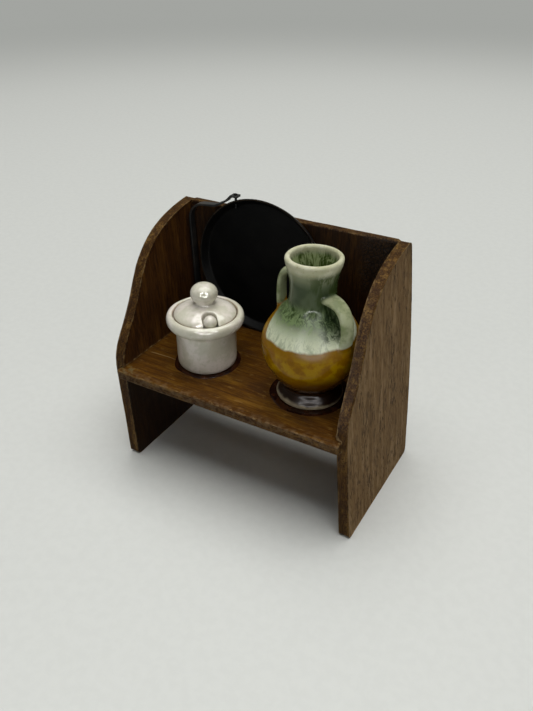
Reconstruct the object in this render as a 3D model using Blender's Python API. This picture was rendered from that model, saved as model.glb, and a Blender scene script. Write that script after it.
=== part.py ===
"""A dolls' house kitchen set: a small wooden shelf unit that carries a lidded honey pot with its
spoon, a two-handled jug and a shallow pan with a bail handle.

Metres, +Z up, front towards -Y. The pieces are laid out from the middle of the unit's width and the
plane of its back, and the "origin" empty moves them all to the middle of the set's footprint.
"""
import math

import bmesh
import bpy
from mathutils import Matrix, Vector

MM = 0.001

# Fits between pieces
GLUE_GAP = 0.1 * MM             # between two boards of a glued joint, and under what stands on a board
LID_CLEARANCE = 0.1 * MM        # round the lid in the pot's recess, and under it
NOTCH_CLEARANCE = 0.15 * MM     # each side of the spoon's ball in the lid's notch
RIVET_CLEARANCE = 0.06 * MM     # round a rivet in the pan's wall and in the bail
HEAD_CLEARANCE = 0.06 * MM      # under a rivet's head

# Shelf unit
UNIT_WIDTH = 60.0 * MM          # over both sides, at the floor
UNIT_HEIGHT = 56.0 * MM
SIDE_DEPTH = 34.1 * MM
SIDE_THICKNESS = 2.5 * MM
BACK_THICKNESS = 2.3 * MM
BACK_BOW = 1.5 * MM             # how far the sides' rear edges swell past the back
SHELF_TOP = 25.7 * MM
SHELF_THICKNESS = 2.4 * MM
SHELF_OVERHANG = 1.7 * MM       # how far the shelf stands in front of the sides
HOUSING_DEPTH = 1.0 * MM        # how deep the shelf's ends are let into the sides
LEFT_LEAN = -0.041              # sideways drift of each side for each unit of height
RIGHT_LEAN = -0.077
# The sides' front edge above the shelf, from the top corner down, as shares of depth and of rise
OGEE = [(0.0, 1.0), (0.18, 0.975), (0.35, 0.925), (0.50, 0.845), (0.625, 0.72), (0.71, 0.58),
        (0.78, 0.44), (0.865, 0.30), (0.945, 0.18), (0.985, 0.09), (1.0, 0.0)]

# Honey pot, heights above its base
POT_HEIGHT = 12.95 * MM
POT_BORE = 5.8 * MM             # radius
POT_WALL = 1.15 * MM
POT_FLOOR = 1.3 * MM
POT_RIM_DEPTH = 3.1 * MM
POT_RIM_WALL = 1.6 * MM
SEAT_WIDTH = 1.5 * MM           # the ledge that the lid sits on
SEAT_DEPTH = 1.15 * MM
LID_EDGE = 1.0 * MM
LID_CROWN = 2.2 * MM            # rise of the dome above the lid's edge
LID_PLUG_DEPTH = 0.6 * MM
KNOB_RADIUS = 3.15 * MM
KNOB_HEIGHT = 4.8 * MM
SPOON_BALL = 1.5 * MM           # radius
SPOON_STEM = 0.55 * MM          # radius
SPOON_BOWL = 1.9 * MM           # radius of the round bowl
SPOON_BOWL_THICKNESS = 1.5 * MM
NOTCH_BEARING = math.radians(-45)

# Jug, heights above its base
JUG_HEIGHT = 32.6 * MM
JUG_FOOT = 7.35 * MM            # radii
JUG_WAIST = 5.75 * MM
JUG_BELLY = 10.6 * MM
JUG_NECK = 4.87 * MM
JUG_MOUTH = 5.96 * MM
JUG_WALL = 1.2 * MM
JUG_FLOOR = 4.2 * MM
WAIST_HEIGHT = 3.2 * MM
BELLY_HEIGHT = 12.8 * MM
NECK_HEIGHT = 24.0 * MM
# How the wall swells from the waist to the belly and closes to the neck: shares of rise and radius
BELLY_SWELL = [(0.0, 0.0), (0.19, 0.38), (0.45, 0.69), (0.71, 0.92), (1.0, 1.0)]
SHOULDER_FALL = [(0.20, 0.95), (0.42, 0.74), (0.64, 0.41), (0.82, 0.09), (1.0, 0.0)]
HANDLE_WIDTH = 3.2 * MM
HANDLE_THICKNESS = 1.5 * MM
# Each handle: bearing from +X, top and bottom heights, reach of its outer face
JUG_HANDLES = {
    "left": (math.radians(172), 28.2 * MM, 17.4 * MM, 8.7 * MM),
    "right": (math.radians(-20), 24.8 * MM, 13.0 * MM, 10.7 * MM),
}

# Pan
PAN_RADIUS = 17.2 * MM
PAN_FLARE = 1.0 * MM            # how far the rim stands out past the base
PAN_BASE = PAN_RADIUS - PAN_FLARE
PAN_DEPTH = 2.2 * MM
PAN_SHEET = 0.5 * MM            # thickness of its wall and floor
BAIL_REACH = 2.4 * MM           # from the pan's rim to the outside of the bail
BAIL_INSET = 4.0 * MM           # from the pan's rim in to a leg's centre line
BAIL_LEG = PAN_RADIUS - BAIL_INSET
BAIL_CORNER = 4.2 * MM
BAIL_SKEW = 0.45 * MM           # how far the upper corner is bent out, and the lower one in
BAIL_THICKNESS = 0.5 * MM
BAIL_WIDTH = 1.8 * MM
EAR_SETBACK = 6.8 * MM          # from the pan's middle to the hinge axis
EAR_TAIL = 0.8 * MM             # strap beyond the hinge axis
EAR_FLAT = 0.9 * MM             # flat strap on the other side of the axis
EAR_BEND = 1.3 * MM             # from there to where the strap lies along the pan's wall
STRAP_CLEARANCE = 0.25 * MM     # between the strap and the pan's wall, past the ears
LEG_RISE = 1.2 * MM             # how far above a leg's centre line the strap leaves the wall
LEG_REACH = 1.9 * MM            # from there to the leg
LEG_CAMBER = 0.3 * MM           # the leg's height above its centre line where it starts
RIVET_RADIUS = 0.35 * MM
RIVET_HEAD = 0.55 * MM          # radius
RIVET_HEAD_THICKNESS = 0.22 * MM

# Where things stand on the shelf
FRONT_GAP = 7.0 * MM            # from the shelf's front edge to the feet of the pot and the jug
JUG_SIDE_GAP = 0.7 * MM         # from the jug's belly to the right side
POT_SHARE = 0.46                # share of the free width that is left of the pot
BAIL_SIDE_GAP = 0.35 * MM       # from the bail to the left side

STANDING_HEIGHT = SHELF_TOP + GLUE_GAP
SHELF_FRONT = -SIDE_DEPTH - SHELF_OVERHANG
RIVET_BORE = RIVET_RADIUS + RIVET_CLEARANCE
TURNING_STEPS = 40
PIN_STEPS = 16


def left_face(z, inset=0.0):
    """X of the left side's outer face at height z, moved inwards by inset."""
    return -UNIT_WIDTH / 2 + LEFT_LEAN * z + inset


def right_face(z, inset=0.0):
    """X of the right side's outer face at height z, moved inwards by inset."""
    return UNIT_WIDTH / 2 + RIGHT_LEAN * z - inset


def smooth_curve(points, steps):
    """A Catmull-Rom curve through 2-D points, with this many steps between each two."""
    ends = [2 * Vector(points[0]) - Vector(points[1])]
    knots = ends + [Vector(p) for p in points] + [2 * Vector(points[-1]) - Vector(points[-2])]
    curve = []
    for a, b, c, d in zip(knots, knots[1:], knots[2:], knots[3:]):
        for i in range(steps):
            t = i / steps
            curve.append(0.5 * (2 * b + (c - a) * t + (2 * a - 5 * b + 4 * c - d) * t ** 2
                                + (3 * b - a - 3 * c + d) * t ** 3))
    return curve + [Vector(points[-1])]


def material(name, colour, roughness, metallic=0.0):
    made = bpy.data.materials.new(name)
    made.use_nodes = True
    shader = made.node_tree.nodes["Principled BSDF"]
    shader.inputs["Base Color"].default_value = (*colour, 1.0)
    shader.inputs["Roughness"].default_value = roughness
    shader.inputs["Metallic"].default_value = metallic
    return made


def add_object(name, bm, parent, finish, location=(0, 0, 0), smooth=False):
    """Makes an object of a bmesh, with its faces turned outwards."""
    bmesh.ops.remove_doubles(bm, verts=bm.verts, dist=0.001 * MM)
    bmesh.ops.recalc_face_normals(bm, faces=bm.faces)
    mesh = bpy.data.meshes.new(name)
    bm.to_mesh(mesh)
    bm.free()
    if smooth:
        mesh.shade_smooth()
        mesh.set_sharp_from_angle(angle=math.radians(40))
    if finish:
        mesh.materials.append(finish)
    made = bpy.data.objects.new(name, mesh)
    made.parent = parent
    made.location = location
    bpy.context.scene.collection.objects.link(made)
    return made


def add_empty(name, parent, location, rotation=(0, 0, 0)):
    made = bpy.data.objects.new(name, None)
    made.parent = parent
    made.location = location
    made.rotation_euler = rotation
    made.empty_display_size = 5 * MM
    bpy.context.scene.collection.objects.link(made)
    return made


def combine(target, tool, operation):
    """Cuts a hidden tool out of the target, or joins it on."""
    tool.hide_render = True
    tool.display_type = 'WIRE'
    boolean = target.modifiers.new(tool.name, 'BOOLEAN')
    boolean.operation = operation
    boolean.solver = 'EXACT'
    boolean.object = tool


def extrude_outline(points, vector):
    """A bmesh prism: a closed outline of 3-D points, swept along a vector."""
    bm = bmesh.new()
    face = bm.faces.new([bm.verts.new(p) for p in points])
    swept = bmesh.ops.extrude_face_region(bm, geom=[face])["geom"]
    moved = [v for v in swept if isinstance(v, bmesh.types.BMVert)]
    bmesh.ops.translate(bm, verts=moved, vec=vector)
    return bm


def leaning_block(low_x, high_x, low_y, high_y, low_z, high_z):
    """A block whose two ends follow low_x(z) and high_x(z)."""
    bm = bmesh.new()
    bmesh.ops.create_cube(bm, size=1.0)
    for vert in bm.verts:
        x, y, z = (c > 0 for c in vert.co)
        height = high_z if z else low_z
        vert.co = ((high_x if x else low_x)(height), high_y if y else low_y, height)
    return bm


def turned_solid(profile):
    """A bmesh spun about Z from (radius, height) points that begin and end on the axis."""
    bm = bmesh.new()
    verts = [bm.verts.new((radius, 0.0, height)) for radius, height in profile]
    edges = [bm.edges.new(pair) for pair in zip(verts, verts[1:])]
    bmesh.ops.spin(bm, geom=verts + edges, cent=(0, 0, 0), axis=(0, 0, 1), angle=math.tau,
                   steps=TURNING_STEPS, use_merge=True)
    return bm


# ---- shelf unit ----

def side_outline():
    """The outline of a side: rounded rear edge, flat foot, straight front and ogee."""
    rise = UNIT_HEIGHT - SHELF_TOP
    front = [(-SIDE_DEPTH * across, SHELF_TOP + rise * up) for across, up in OGEE]
    rear_steps = 10
    rear = []
    for i in range(1, rear_steps):
        share = i / rear_steps
        rear.append((4 * BACK_BOW * share * (1 - share), UNIT_HEIGHT * share))
    return smooth_curve(front, 3) + [(-SIDE_DEPTH, 0.0), (0.0, 0.0)] + rear


def make_side(name, face, inset, origin, finish):
    """A side board between two leaning planes, with the shelf's housing cut in its inner face."""
    outline = side_outline()
    bm = extrude_outline([(0.0, y, z) for y, z in outline], (1.0, 0, 0))
    for vert in bm.verts:
        vert.co.x = face(vert.co.z, SIDE_THICKNESS if vert.co.x > 0.5 else 0.0)
    side = add_object(name, bm, origin, finish)
    past = 2 * SIDE_THICKNESS
    housing = leaning_block(
        lambda z: face(z, inset), lambda z: face(z, past),
        SHELF_FRONT - past, -BACK_THICKNESS,
        SHELF_TOP - SHELF_THICKNESS - GLUE_GAP, SHELF_TOP + GLUE_GAP)
    combine(side, add_object(name + "_housing", housing, origin, None), 'DIFFERENCE')
    return side


def make_shelf_unit(origin):
    wood = material("walnut_stain", (0.115, 0.062, 0.030), 0.62)
    shelf_wood = material("golden_stain", (0.190, 0.100, 0.032), 0.55)
    housing_floor = SIDE_THICKNESS - HOUSING_DEPTH
    make_side("left_side_panel", left_face, housing_floor, origin, wood)
    make_side("right_side_panel", right_face, housing_floor, origin, wood)
    back = leaning_block(
        lambda z: left_face(z, SIDE_THICKNESS + GLUE_GAP),
        lambda z: right_face(z, SIDE_THICKNESS + GLUE_GAP),
        -BACK_THICKNESS, 0.0, SHELF_TOP - SHELF_THICKNESS, UNIT_HEIGHT)
    add_object("back_panel", back, origin, wood)
    shelf = leaning_block(
        lambda z: left_face(z, housing_floor + GLUE_GAP),
        lambda z: right_face(z, housing_floor + GLUE_GAP),
        SHELF_FRONT, -BACK_THICKNESS - GLUE_GAP, SHELF_TOP - SHELF_THICKNESS, SHELF_TOP)
    add_object("shelf_board", shelf, origin, shelf_wood)


# ---- honey pot, lid and spoon ----

POT_OUTER = POT_BORE + POT_WALL
POT_RECESS = POT_BORE + SEAT_WIDTH
POT_RIM = POT_RECESS + POT_RIM_WALL
SEAT_HEIGHT = POT_HEIGHT - SEAT_DEPTH
LID_RADIUS = POT_RECESS - LID_CLEARANCE
LID_BASE = SEAT_HEIGHT + LID_CLEARANCE
LID_TOP = LID_BASE + LID_EDGE + LID_CROWN
BALL_OUT = LID_RADIUS - SPOON_BALL          # from the pot's axis to the ball's centre
BALL_HEIGHT = SEAT_HEIGHT + SPOON_BALL + LID_CLEARANCE
BOWL_OUT = 1.3 * MM
BOWL_HEIGHT = POT_FLOOR + GLUE_GAP + SPOON_BOWL_THICKNESS / 2


def pot_profile():
    under_rim = POT_HEIGHT - POT_RIM_DEPTH
    outside = [
        (POT_OUTER - 0.8 * MM, 0.0), (POT_OUTER - 0.2 * MM, 0.5 * MM), (POT_OUTER, 1.6 * MM),
        (POT_OUTER, under_rim - 0.7 * MM), (POT_OUTER + 0.3 * MM, under_rim - 0.1 * MM),
        (POT_RIM - 0.35 * MM, under_rim + 0.7 * MM), (POT_RIM, under_rim + 1.5 * MM),
        (POT_RIM - 0.15 * MM, POT_HEIGHT - 0.6 * MM), (POT_RIM - 0.7 * MM, POT_HEIGHT)]
    inside = [
        (POT_RECESS + 0.25 * MM, POT_HEIGHT - 0.05 * MM), (POT_RECESS, POT_HEIGHT - 0.35 * MM),
        (POT_RECESS, SEAT_HEIGHT), (POT_BORE, SEAT_HEIGHT), (POT_BORE, POT_FLOOR + 1.0 * MM),
        (POT_BORE - 0.8 * MM, POT_FLOOR + 0.1 * MM)]
    return [(0.0, 0.0)] + outside + inside + [(0.0, POT_FLOOR)]


def lid_profile():
    plug = POT_BORE - LID_CLEARANCE
    edge_top = LID_BASE + LID_EDGE
    neck = KNOB_RADIUS * 0.68
    knob = []
    for i in range(8):
        turn = math.radians(-48 + 138 * i / 8)
        knob.append((KNOB_RADIUS * math.cos(turn),
                     LID_TOP + KNOB_HEIGHT / 2 * (1 + math.sin(turn))))
    return [(0.0, LID_BASE - LID_PLUG_DEPTH), (plug, LID_BASE - LID_PLUG_DEPTH), (plug, LID_BASE),
            (LID_RADIUS - 0.1 * MM, LID_BASE), (LID_RADIUS, LID_BASE + 0.15 * MM),
            (LID_RADIUS, edge_top - 0.25 * MM), (LID_RADIUS - 0.35 * MM, edge_top),
            (LID_RADIUS * 0.80, edge_top + LID_CROWN * 0.38),
            (LID_RADIUS * 0.58, edge_top + LID_CROWN * 0.70),
            (LID_RADIUS * 0.40, edge_top + LID_CROWN * 0.90), (neck, LID_TOP)] \
        + knob + [(0.0, LID_TOP + KNOB_HEIGHT)]


def make_pot(pot_axis, glaze):
    add_object("pot_body", turned_solid(pot_profile()), pot_axis, glaze, smooth=True)
    lid = add_object("pot_lid", turned_solid(lid_profile()), pot_axis, glaze, smooth=True)
    half_width = SPOON_BALL + NOTCH_CLEARANCE
    inner_end = BALL_OUT - SPOON_STEM
    arc = [math.radians(90 + 180 * i / PIN_STEPS) for i in range(PIN_STEPS + 1)]
    outline = [(inner_end + half_width * math.cos(t), half_width * math.sin(t), 0.0) for t in arc]
    outline += [(2 * LID_RADIUS, -half_width, 0.0), (2 * LID_RADIUS, half_width, 0.0)]
    notch = extrude_outline(outline, (0, 0, LID_TOP))
    notch = add_object("lid_notch", notch, pot_axis, None, (0, 0, SEAT_HEIGHT - LID_TOP / 2))
    notch.rotation_euler.z = NOTCH_BEARING
    combine(lid, notch, 'DIFFERENCE')


def make_spoon(pot_axis, glaze):
    """A stem from a round bowl on the pot's floor to a ball in the lid's notch."""
    bowl_centre = Vector((BOWL_OUT, 0, BOWL_HEIGHT))
    ball_centre = Vector((BALL_OUT, 0, BALL_HEIGHT))
    stem_line = ball_centre - bowl_centre
    bowl = bmesh.new()
    flat = Matrix.Diagonal((SPOON_BOWL, SPOON_BOWL, SPOON_BOWL_THICKNESS / 2, 1))
    bmesh.ops.create_uvsphere(bowl, u_segments=21, v_segments=11, radius=1.0, matrix=flat)
    spoon = add_object("spoon", bowl, pot_axis, glaze, bowl_centre, smooth=True)
    spoon.matrix_basis = Matrix.Rotation(NOTCH_BEARING, 4, 'Z') @ Matrix.Translation(bowl_centre)
    turn = stem_line.to_track_quat('Z', 'X').to_matrix().to_4x4()
    stem = bmesh.new()
    bmesh.ops.create_cone(stem, cap_ends=True, segments=PIN_STEPS, radius1=SPOON_STEM,
                          radius2=SPOON_STEM, depth=stem_line.length,
                          matrix=Matrix.Translation(stem_line / 2) @ turn)
    ball = bmesh.new()
    bmesh.ops.create_uvsphere(ball, u_segments=21, v_segments=13, radius=SPOON_BALL,
                              matrix=Matrix.Translation(stem_line))
    for name, form in (("spoon_stem_form", stem), ("spoon_ball_form", ball)):
        combine(spoon, add_object(name, form, spoon, None), 'UNION')


# ---- jug ----

def jug_outer_wall():
    """(radius, height) points of the jug's outside, from the waist to the neck."""
    wall = []
    for up, out in BELLY_SWELL:
        wall.append((JUG_WAIST + (JUG_BELLY - JUG_WAIST) * out,
                     WAIST_HEIGHT + (BELLY_HEIGHT - WAIST_HEIGHT) * up))
    for up, out in SHOULDER_FALL:
        wall.append((JUG_NECK + (JUG_BELLY - JUG_NECK) * out,
                     BELLY_HEIGHT + (NECK_HEIGHT - BELLY_HEIGHT) * up))
    lip = JUG_HEIGHT - NECK_HEIGHT
    flare = JUG_MOUTH - JUG_NECK
    wall += [(JUG_NECK + flare * 0.02, NECK_HEIGHT + lip * 0.35),
             (JUG_NECK + flare * 0.45, NECK_HEIGHT + lip * 0.64),
             (JUG_NECK + flare * 0.90, NECK_HEIGHT + lip * 0.85)]
    return smooth_curve(wall, 2)


def jug_profile():
    foot = [(0.0, 0.0), (JUG_FOOT - 0.4 * MM, 0.0), (JUG_FOOT, 0.35 * MM),
            (JUG_FOOT - 0.05 * MM, 0.9 * MM), (JUG_FOOT - 0.7 * MM, 1.6 * MM),
            (JUG_WAIST + 0.3 * MM, 2.3 * MM)]
    wall = [tuple(p) for p in jug_outer_wall()]
    lip = [(JUG_MOUTH, JUG_HEIGHT - 0.5 * MM), (JUG_MOUTH - 0.3 * MM, JUG_HEIGHT - 0.08 * MM),
           (JUG_MOUTH - 0.75 * MM, JUG_HEIGHT), (JUG_MOUTH - JUG_WALL, JUG_HEIGHT - 0.35 * MM)]
    inside = [(radius - JUG_WALL, height) for radius, height in reversed(wall)
              if height > JUG_FLOOR + 1.0 * MM]
    floor_edge = inside[-1][0] * 0.6
    return foot + wall + lip + inside + [(floor_edge, JUG_FLOOR + 0.2 * MM), (0.0, JUG_FLOOR)]


def wall_radius(height):
    """Radius of the jug's outside at a height between the waist and the lip."""
    wall = jug_outer_wall()
    for low, high in zip(wall, wall[1:]):
        if low.y <= height <= high.y:
            return low.x + (high.x - low.x) * (height - low.y) / (high.y - low.y)
    return JUG_NECK


def handle_form(top, bottom, reach):
    """A strap handle in the XZ plane: an oval section along a bowed line, sunk in the wall."""
    sunk = JUG_WALL * 0.6
    sections = 10
    sides = 10
    bm = bmesh.new()
    rings = []
    for i in range(sections + 1):
        share = i / sections
        turn = math.radians(90 - 180 * share)
        root = wall_radius(top) * (1 - share) + wall_radius(bottom) * share - sunk
        bulge = reach - HANDLE_THICKNESS / 2 - root
        middle = Vector((root + bulge * math.cos(turn) ** 0.7 if 0 < i < sections else root, 0,
                         (top + bottom) / 2 + (top - bottom) / 2 * math.sin(turn)))
        normal = Vector((math.cos(turn), 0, math.sin(turn)))
        ring = []
        for j in range(sides):
            around = math.tau * j / sides
            ring.append(bm.verts.new(middle + normal * (HANDLE_THICKNESS / 2 * math.cos(around))
                                     + Vector((0, HANDLE_WIDTH / 2 * math.sin(around), 0))))
        rings.append(ring)
    for near, far in zip(rings, rings[1:]):
        for j in range(sides):
            bm.faces.new((near[j], near[(j + 1) % sides], far[(j + 1) % sides], far[j]))
    bm.faces.new(rings[0])
    bm.faces.new(rings[-1])
    return bm


def make_jug(jug_axis):
    glaze = material("green_and_amber_glaze", (0.40, 0.33, 0.14), 0.12)
    jug = add_object("jug", turned_solid(jug_profile()), jug_axis, glaze, smooth=True)
    for side, (bearing, top, bottom, reach) in JUG_HANDLES.items():
        form = add_object(f"jug_handle_{side}_form", handle_form(top, bottom, reach), jug_axis, None)
        form.rotation_euler.z = bearing
        combine(jug, form, 'UNION')


# ---- pan: its own frame has +Y up and +Z out of its mouth ----

BAIL_OUTSIDE = PAN_RADIUS + BAIL_REACH
BAIL_AXIS_DEPTH = -PAN_DEPTH / 2 + 0.1 * MM
STRAP_RADIUS = PAN_RADIUS + STRAP_CLEARANCE + BAIL_THICKNESS / 2
EAR_SWEEP = math.hypot(EAR_TAIL, BAIL_WIDTH / 2)    # how far the ear's corners reach as it turns
# Height of the flat ears' middle: they clear the highest wall that their corners pass over
EAR_HEIGHT = math.sqrt(PAN_RADIUS ** 2 - (EAR_SETBACK - EAR_SWEEP) ** 2) \
    + HEAD_CLEARANCE * 2 + BAIL_THICKNESS / 2


def pan_profile():
    flare = PAN_RADIUS - PAN_BASE
    floor = -PAN_DEPTH + PAN_SHEET
    return [(0.0, -PAN_DEPTH), (PAN_BASE - 0.5 * MM, -PAN_DEPTH), (PAN_BASE, -PAN_DEPTH + 0.35 * MM),
            (PAN_BASE + flare * 0.9, -0.25 * MM), (PAN_RADIUS, -0.1 * MM), (PAN_RADIUS - 0.1 * MM, 0.0),
            (PAN_RADIUS - PAN_SHEET, -0.02 * MM), (PAN_BASE - PAN_SHEET, floor + 0.3 * MM),
            (PAN_BASE - PAN_SHEET - 0.3 * MM, floor), (0.0, floor)]


def upper_bail_line():
    """Centre line of the bail's upper half, from the blunt end to the middle of the far run."""
    line = [Vector((-(EAR_SETBACK - EAR_TAIL), EAR_HEIGHT)),
            Vector((-(EAR_SETBACK + EAR_FLAT), EAR_HEIGHT))]
    first = math.asin((EAR_SETBACK + EAR_FLAT + EAR_BEND) / STRAP_RADIUS)
    last = math.acos((BAIL_LEG + LEG_RISE) / STRAP_RADIUS)
    hug_steps = 3
    for i in range(hug_steps + 1):
        turn = first + (last - first) * i / hug_steps
        line.append(Vector((-STRAP_RADIUS * math.sin(turn), STRAP_RADIUS * math.cos(turn))))
    line.append(Vector((line[-1].x - LEG_REACH, BAIL_LEG + LEG_CAMBER)))
    corner_x = -(BAIL_OUTSIDE - BAIL_THICKNESS / 2 - BAIL_CORNER)
    corner_y = BAIL_LEG - BAIL_CORNER
    corner_steps = 7
    for i in range(corner_steps + 1):
        turn = math.radians(90 + 90 * i / corner_steps)
        line.append(Vector((corner_x + BAIL_CORNER * math.cos(turn),
                            corner_y + BAIL_CORNER * math.sin(turn))))
    return line


def bent(point):
    """Bends the bail past its ears: the upper corner outwards and the lower one inwards."""
    share = min(1.0, max(0.0, (-point.x - EAR_SETBACK) / BAIL_LEG))
    return Vector((point.x - BAIL_SKEW * share * point.y / BAIL_LEG, point.y))


def bail_outline():
    """The strap seen edge on: the centre line of both halves, moved half a thickness each way."""
    upper = upper_bail_line()
    line = [bent(p) for p in upper + [Vector((p.x, -p.y)) for p in reversed(upper)]]
    outer, inner = [], []
    for i, point in enumerate(line):
        along = (line[min(i + 1, len(line) - 1)] - line[max(i - 1, 0)]).normalized()
        across = Vector((-along.y, along.x)) * (BAIL_THICKNESS / 2)
        outer.append(point - across)
        inner.append(point + across)
    return outer + inner[::-1]


def rivet_profile(inner_face, outer_face):
    """A rivet along its axis, from under its inner head to under its outer head."""
    return [(0.0, inner_face - RIVET_HEAD_THICKNESS), (RIVET_HEAD, inner_face - RIVET_HEAD_THICKNESS),
            (RIVET_HEAD, inner_face), (RIVET_RADIUS, inner_face), (RIVET_RADIUS, outer_face),
            (RIVET_HEAD, outer_face), (RIVET_HEAD - 0.1 * MM, outer_face + RIVET_HEAD_THICKNESS),
            (0.0, outer_face + RIVET_HEAD_THICKNESS)]


def make_pan(pan_centre):
    iron = material("black_japanned_iron", (0.012, 0.013, 0.013), 0.38, 0.4)
    dish = add_object("pan_dish", turned_solid(pan_profile()), pan_centre, iron, smooth=True)
    hinge = (-EAR_SETBACK, 0.0, BAIL_AXIS_DEPTH)

    outline = [(p.x + EAR_SETBACK, p.y, -BAIL_WIDTH / 2) for p in bail_outline()]
    bail = extrude_outline(outline, (0, 0, BAIL_WIDTH))
    bail = add_object("pan_bail", bail, pan_centre, iron, hinge)

    hole = bmesh.new()
    along_y = Matrix.Rotation(math.radians(90), 4, 'X')
    bmesh.ops.create_cone(hole, cap_ends=True, segments=PIN_STEPS, radius1=RIVET_BORE,
                          radius2=RIVET_BORE, depth=4 * PAN_RADIUS, matrix=along_y)
    hole = add_object("rivet_holes", hole, pan_centre, None, hinge)
    combine(dish, hole, 'DIFFERENCE')
    combine(bail, hole, 'DIFFERENCE')

    # The inner head stands clear of the round wall at the head's farther edge
    wall_inside = PAN_BASE - PAN_SHEET
    inner_face = math.sqrt(wall_inside ** 2 - (EAR_SETBACK + RIVET_HEAD) ** 2) - HEAD_CLEARANCE
    outer_face = EAR_HEIGHT + BAIL_THICKNESS / 2 + HEAD_CLEARANCE
    for name, turn in (("pan_rivet_upper", -90), ("pan_rivet_lower", 90)):
        rivet = turned_solid(rivet_profile(inner_face, outer_face))
        rivet = add_object(name, rivet, pan_centre, iron, hinge, smooth=True)
        rivet.rotation_euler.x = math.radians(turn)


def main():
    for old in list(bpy.data.objects):
        bpy.data.objects.remove(old)
    middle_x = (left_face(UNIT_HEIGHT) + right_face(0.0)) / 2
    middle_y = (SHELF_FRONT + BACK_BOW) / 2
    origin = add_empty("origin", None, (-middle_x, -middle_y, 0))
    make_shelf_unit(origin)

    inner = SIDE_THICKNESS
    jug_x = right_face(STANDING_HEIGHT + BELLY_HEIGHT, inner) - JUG_SIDE_GAP - JUG_BELLY
    pot_left = left_face(STANDING_HEIGHT, inner)
    free = jug_x - JUG_BELLY - pot_left - 2 * POT_RIM
    pot_x = pot_left + POT_SHARE * free + POT_RIM
    foot_front = SHELF_FRONT + FRONT_GAP
    glaze = material("ivory_glaze", (0.78, 0.75, 0.68), 0.10)
    pot_axis = add_empty("pot_axis", origin, (pot_x, foot_front + POT_OUTER, STANDING_HEIGHT))
    make_pot(pot_axis, glaze)
    make_spoon(pot_axis, glaze)
    make_jug(add_empty("jug_axis", origin, (jug_x, foot_front + JUG_FOOT, STANDING_HEIGHT)))

    pan_z = STANDING_HEIGHT + PAN_RADIUS
    corner_z = pan_z + BAIL_LEG - BAIL_CORNER
    pan_x = left_face(corner_z, inner) + BAIL_SIDE_GAP + BAIL_SKEW + BAIL_OUTSIDE
    pan_y = -BACK_THICKNESS - GLUE_GAP - PAN_DEPTH
    upright = (math.radians(90), 0, 0)
    make_pan(add_empty("pan_centre", origin, (pan_x, pan_y, pan_z), upright))


main()
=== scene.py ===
import math

import bmesh
import bpy
from mathutils import Matrix, Vector, noise


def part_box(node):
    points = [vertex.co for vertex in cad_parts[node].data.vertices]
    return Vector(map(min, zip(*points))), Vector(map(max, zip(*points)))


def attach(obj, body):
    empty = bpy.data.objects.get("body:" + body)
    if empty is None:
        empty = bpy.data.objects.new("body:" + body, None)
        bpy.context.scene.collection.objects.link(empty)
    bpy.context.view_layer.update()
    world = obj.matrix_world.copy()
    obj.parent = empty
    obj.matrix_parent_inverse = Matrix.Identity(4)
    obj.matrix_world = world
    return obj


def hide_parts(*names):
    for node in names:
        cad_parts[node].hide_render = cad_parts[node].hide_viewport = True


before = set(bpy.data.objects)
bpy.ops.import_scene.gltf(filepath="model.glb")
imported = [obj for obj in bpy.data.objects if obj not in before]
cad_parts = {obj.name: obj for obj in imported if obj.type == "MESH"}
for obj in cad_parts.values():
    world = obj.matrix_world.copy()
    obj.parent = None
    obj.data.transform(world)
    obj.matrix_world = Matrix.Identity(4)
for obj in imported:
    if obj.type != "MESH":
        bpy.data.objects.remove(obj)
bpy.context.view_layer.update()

MM = 0.001
UP = Vector((0, 0, 1))
TO_MM = (1 / MM, 1 / MM, 1 / MM)      # scale of a Mapping node that turns metres into millimetres


# ---- places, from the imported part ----

def middle(node):
    low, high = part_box(node)
    return (low + high) / 2


def foot_centre(node):
    """The point under a turned piece: the middle of what touches its lowest level."""
    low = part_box(node)[0]
    touching = [v.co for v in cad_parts[node].data.vertices if v.co.z < low.z + 0.05 * MM]
    xs = [co.x for co in touching]
    ys = [co.y for co in touching]
    return Vector(((min(xs) + max(xs)) / 2, (min(ys) + max(ys)) / 2, low.z))


POT_FOOT = foot_centre("pot_body")
JUG_FOOT = foot_centre("jug")
PAN_LOW, PAN_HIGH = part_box("pan_dish")
PAN_MOUTH = Vector(((PAN_LOW.x + PAN_HIGH.x) / 2, PAN_LOW.y, (PAN_LOW.z + PAN_HIGH.z) / 2))
SHELF_LOW, SHELF_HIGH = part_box("shelf_board")
RIGHT_LOW, RIGHT_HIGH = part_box("right_side_panel")
BACK_LOW, BACK_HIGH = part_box("back_panel")


# ---- finishes ----

class Wire:
    """A number that varies over a surface, with the usual signs of arithmetic."""

    def __init__(self, finish, socket):
        self.finish = finish
        self.socket = socket

    def __add__(self, other):
        return self.finish.maths("ADD", self, other)

    def __radd__(self, other):
        return self.finish.maths("ADD", other, self)

    def __sub__(self, other):
        return self.finish.maths("SUBTRACT", self, other)

    def __rsub__(self, other):
        return self.finish.maths("SUBTRACT", other, self)

    def __mul__(self, other):
        return self.finish.maths("MULTIPLY", self, other)

    def __rmul__(self, other):
        return self.finish.maths("MULTIPLY", other, self)

    def __truediv__(self, other):
        return self.finish.maths("DIVIDE", self, other)

    def between(self, low, high):
        """0 below low, 1 above high, and a soft change in between; low may be the larger one."""
        return self.finish.node("MapRange", {"interpolation_type": "SMOOTHSTEP"},
                                {"Value": self, "From Min": low, "From Max": high})

    def clamped(self):
        return self.finish.maths("ADD", self, 0.0, clamp=True)


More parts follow.
